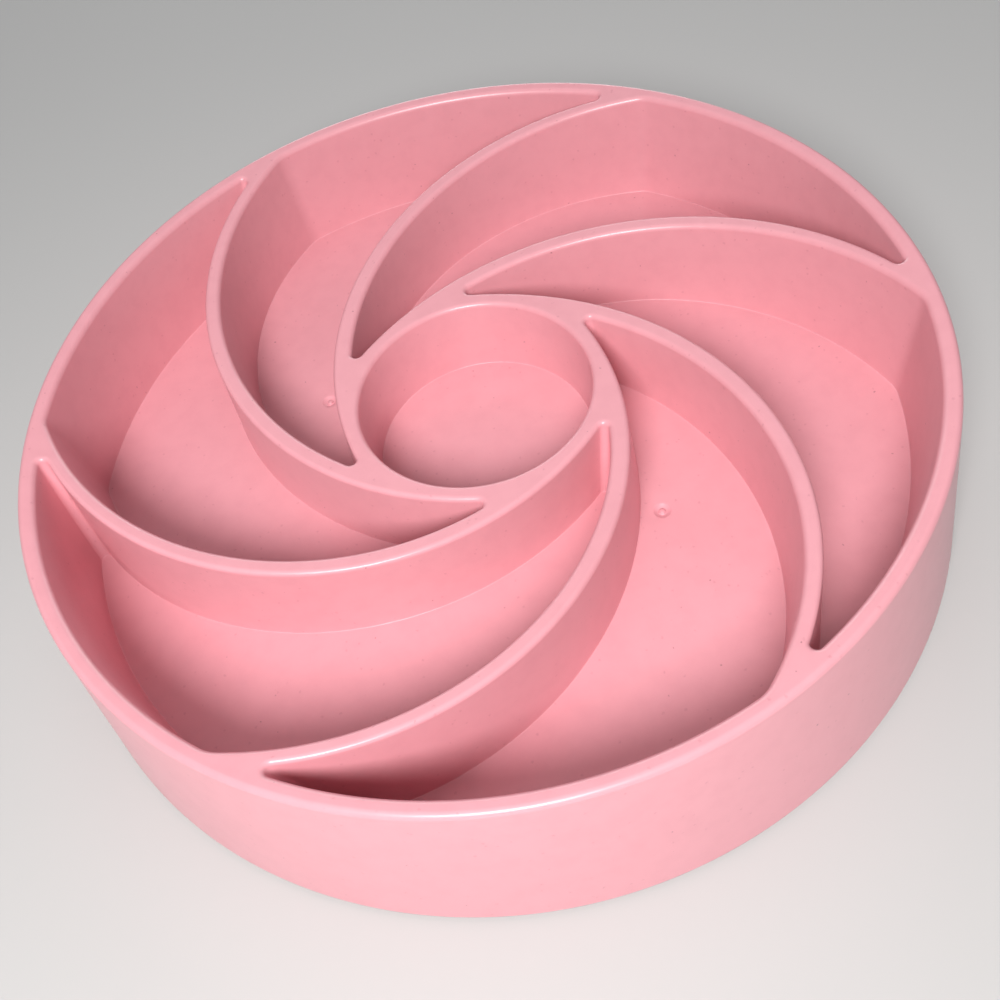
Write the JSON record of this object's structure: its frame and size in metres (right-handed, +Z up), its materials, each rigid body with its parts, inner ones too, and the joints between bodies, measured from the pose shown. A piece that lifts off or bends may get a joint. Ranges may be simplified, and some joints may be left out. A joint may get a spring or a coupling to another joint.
{
  "type": "slow feeder bowl",
  "caption": "Round slow feeder bowl: a low moulded dish with curved feed pockets swirling round a centre cup, a dished top, a wall that widens to its base, and push-in rubber feet.",
  "frame": {"origin": "on the table plane under the bowl's axis, at the bottom of the feet", "axes": "+Z up out of the mouth of the bowl; +X towards the outer tip of one pocket"},
  "size_m": [0.2358, 0.2358, 0.0467],
  "materials": {
    "bowl_plastic": "satin, fine sparse dark specks",
    "foot_rubber": "matt"
  },
  "bodies": {
    "root": {"bowl_moulding": "bowl_plastic", "rubber_foot_1": "foot_rubber", "rubber_foot_2": "foot_rubber", "rubber_foot_3": "foot_rubber", "rubber_foot_4": "foot_rubber", "rubber_foot_5": "foot_rubber", "rubber_foot_6": "foot_rubber"}
  },
  "joints": []
}
